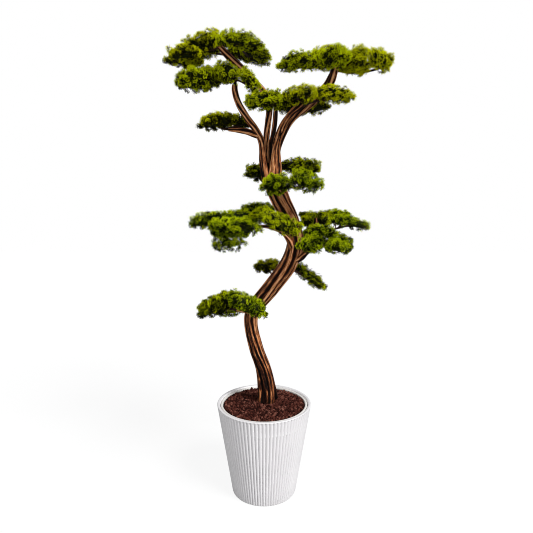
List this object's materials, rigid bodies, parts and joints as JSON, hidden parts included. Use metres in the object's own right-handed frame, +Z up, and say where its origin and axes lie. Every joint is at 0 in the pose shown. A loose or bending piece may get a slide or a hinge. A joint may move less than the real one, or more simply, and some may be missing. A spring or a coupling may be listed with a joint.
{
  "type": "cloud-pruned myrtle bonsai in a pot",
  "caption": "Small cloud-pruned myrtle tree with a winding stringy trunk and flat clipped pads of foliage, standing in a white ribbed tapered pot filled with reddish lava granules.",
  "frame": {"origin": "centre of the pot's flat underside, on the ground", "axes": "+Z up, -Y towards the viewer of the picture, +X to the viewer's right"},
  "size_m": [0.6949, 0.3924, 1.5279],
  "materials": {
    "pot": "matt white, finely ribbed",
    "liner": "matt cream",
    "granules": "rough porous lava",
    "bark": "stringy fluted bark",
    "foliage": "clipped fine leaves"
  },
  "bodies": {
    "root": {"bough_arm": "bark", "bough_collar": "bark", "bough_crown_lower": "bark", "bough_crown_upper": "bark", "bough_dark_stem": "bark", "bough_east": "bark", "bough_far": "bark", "bough_foot": "bark", "bough_left_stem": "bark", "bough_low": "bark", "bough_right_lower": "bark", "bough_right_upper": "bark", "bough_shelf": "bark", "foliage_arm_back": "foliage", "foliage_arm_drop": "foliage", "foliage_arm_front": "foliage", "foliage_arm_long": "foliage", "foliage_arm_low": "foliage", "foliage_bend_left": "foliage", "foliage_bend_right": "foliage", "foliage_collar_back": "foliage", "foliage_collar_far": "foliage", "foliage_collar_left": "foliage", "foliage_collar_mid": "foliage", "foliage_collar_right": "foliage", "foliage_crown_back": "foliage", "foliage_crown_front": "foliage", "foliage_crown_tip": "foliage", "foliage_crown_top": "foliage", "foliage_east_back": "foliage", "foliage_east_tip": "foliage", "foliage_east_top": "foliage", "foliage_foot_back": "foliage", "foliage_foot_front": "foliage", "foliage_foot_tip": "foliage", "foliage_left_back": "foliage", "foliage_left_inner": "foliage", "foliage_left_tip": "foliage", "foliage_left_top": "foliage", "foliage_low_back": "foliage", "foliage_low_front": "foliage", "foliage_low_mid": "foliage", "foliage_low_right": "foliage", "foliage_low_tip": "foliage", "foliage_right_back": "foliage", "foliage_right_inner": "foliage", "foliage_right_outer": "foliage", "foliage_right_tip": "foliage", "foliage_right_top": "foliage", "foliage_shelf_back": "foliage", "foliage_shelf_tip": "foliage", "foliage_waist_back": "foliage", "foliage_waist_front": "foliage", "foliage_waist_left": "foliage", "foliage_waist_low": "foliage", "granules": "granules", "liner_rim": "liner", "pot": "pot", "trunk": "bark"}
  },
  "joints": []
}
